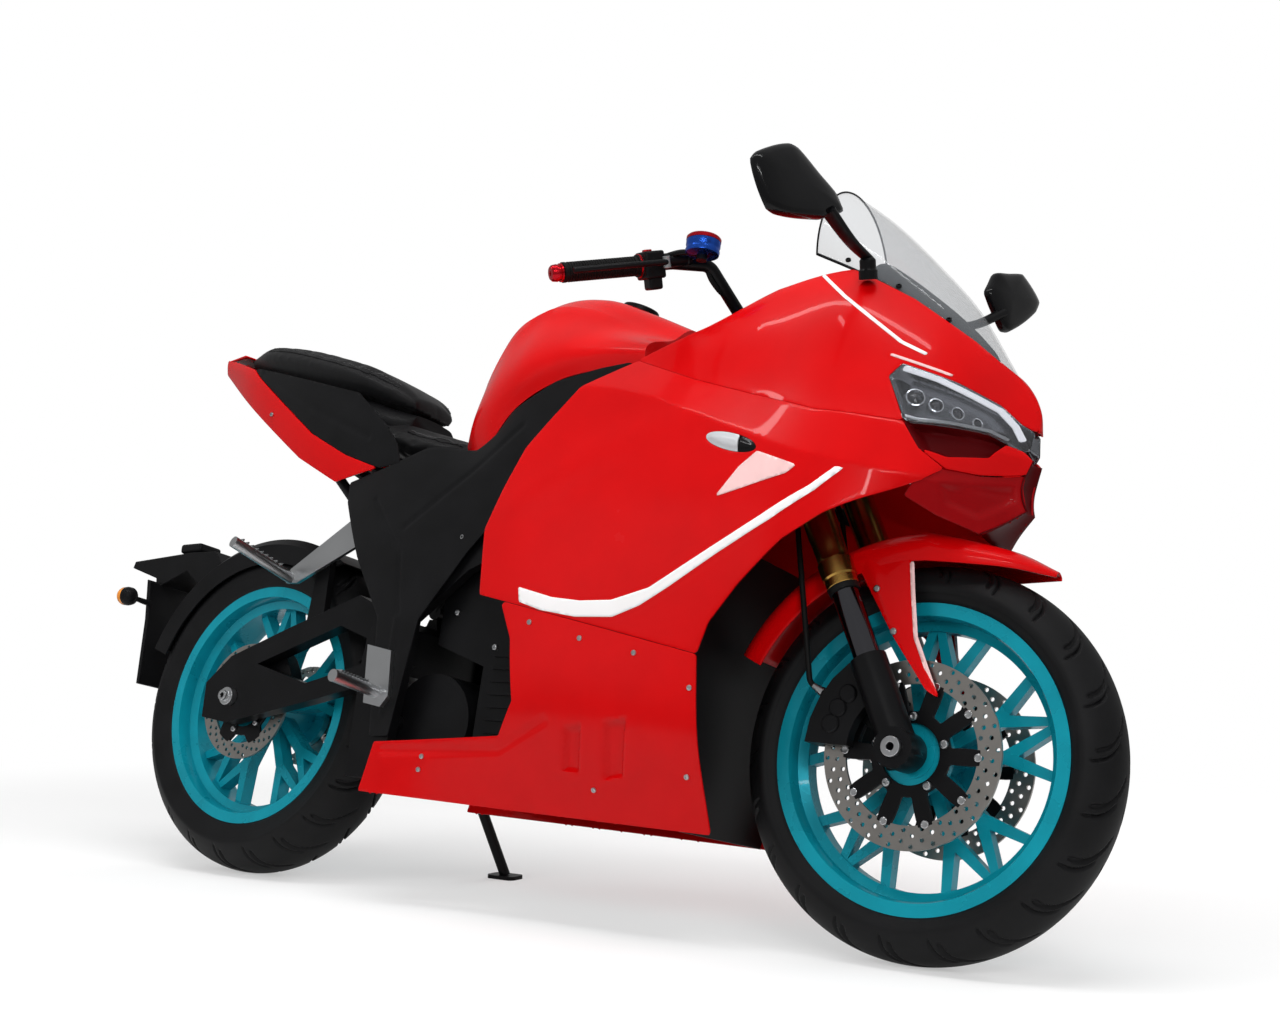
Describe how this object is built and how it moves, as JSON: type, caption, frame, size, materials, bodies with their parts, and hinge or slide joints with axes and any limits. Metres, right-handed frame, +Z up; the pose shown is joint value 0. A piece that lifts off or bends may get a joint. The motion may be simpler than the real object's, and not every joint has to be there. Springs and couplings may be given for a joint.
{
  "type": "electric sport motorcycle",
  "caption": "Fully faired electric sport motorcycle leaning on its side stand, with steering fork, cast wheels, disc brakes, stepped seat and mirrors.",
  "frame": {"origin": "middle of the floor under the parked machine's bounding box", "axes": "+X forward, +Y to the rider's left, the side it leans to, +Z up from the floor"},
  "size_m": [2.1569, 0.8306, 1.2254],
  "materials": {
    "black_satin": "satin black",
    "red_gloss": "clear-coated paint on moulded panels",
    "black_plastic": "fine-grained black",
    "seat_vinyl": "black grained vinyl",
    "red_lens": "red lens",
    "screen": "clear, lightly smoked",
    "lamp": "smoked lens",
    "silver": "machined",
    "amber": "amber lens",
    "disc_steel": "ground",
    "gold": "gold anodised",
    "chrome": "hard chrome",
    "rubber": "black rubber",
    "red_anodised": "red anodised",
    "blue_anodised": "blue anodised",
    "teal_metallic": "metallic turquoise",
    "tyre": "black rubber"
  },
  "bodies": {
    "chassis": {"main_frame": "black_satin", "subframe": "black_satin", "battery_case": "black_satin", "drive_motor": "black_satin", "swingarm": "black_satin", "rear_shock": "black_satin", "tank_cover": "red_gloss", "frame_covers": "black_plastic", "rider_seat": "seat_vinyl", "pillion_seat": "seat_vinyl", "tail_cowls": "red_gloss", "tail_insets": "black_plastic", "tail_lamp": "red_lens", "nose_cowl": "red_gloss", "windscreen": "screen", "dash_panel": "black_plastic", "headlamps": "lamp", "chin_cowl": "red_gloss", "side_fairings": "red_gloss", "belly_fairings": "red_gloss", "front_shield": "black_plastic", "fairing_stays": "black_satin", "front_indicators": "lamp", "mirrors": "black_plastic", "rider_footrests": "silver", "passenger_footrests": "silver", "rear_mudguard": "black_plastic", "plate_bracket": "black_plastic", "rear_indicators": "amber", "rear_caliper": "black_satin", "rear_axle": "silver", "drive_chain": "disc_steel"},
    "steering": {"triple_clamps": "black_satin", "fork_outer_tubes": "gold", "fork_inner_tubes": "chrome", "fork_feet": "black_satin", "front_axle": "silver", "front_calipers": "black_satin", "front_fender": "red_gloss", "handlebar": "black_satin", "grips": "rubber", "bar_ends": "red_anodised", "switch_housings": "black_plastic", "brake_levers": "black_satin", "brake_reservoir": "blue_anodised", "brake_hoses": "rubber"},
    "front_wheel": {"front_rim": "teal_metallic", "front_tyre": "tyre", "front_discs": "disc_steel"},
    "rear_wheel": {"rear_rim": "teal_metallic", "rear_tyre": "tyre", "rear_disc": "disc_steel", "rear_sprocket": "disc_steel"},
    "side_stand": {"side_stand": "black_satin"}
  },
  "joints": [
    {"name": "steering_turn", "type": "hinge", "parent": "chassis", "child": "steering", "pos_m": [0.47074, -0.03601, 0.84308], "axis": [-0.4384, 0.1869, 0.8792], "range_deg": [-28, 28]},
    {"name": "front_wheel_spin", "type": "hinge", "parent": "steering", "child": "front_wheel", "pos_m": [0.7805, -0.15288, 0.29326], "axis": [0, 0.9781, -0.2079], "continuous": true},
    {"name": "rear_wheel_spin", "type": "hinge", "parent": "chassis", "child": "rear_wheel", "pos_m": [-0.6045, -0.14851, 0.31381], "axis": [0, 0.9781, -0.2079], "continuous": true},
    {"name": "stand_fold", "type": "hinge", "parent": "chassis", "child": "side_stand", "pos_m": [-0.2365, -0.00044, 0.18316], "axis": [0.2145, 0.825, 0.5229], "range_deg": [0, 92]}
  ]
}
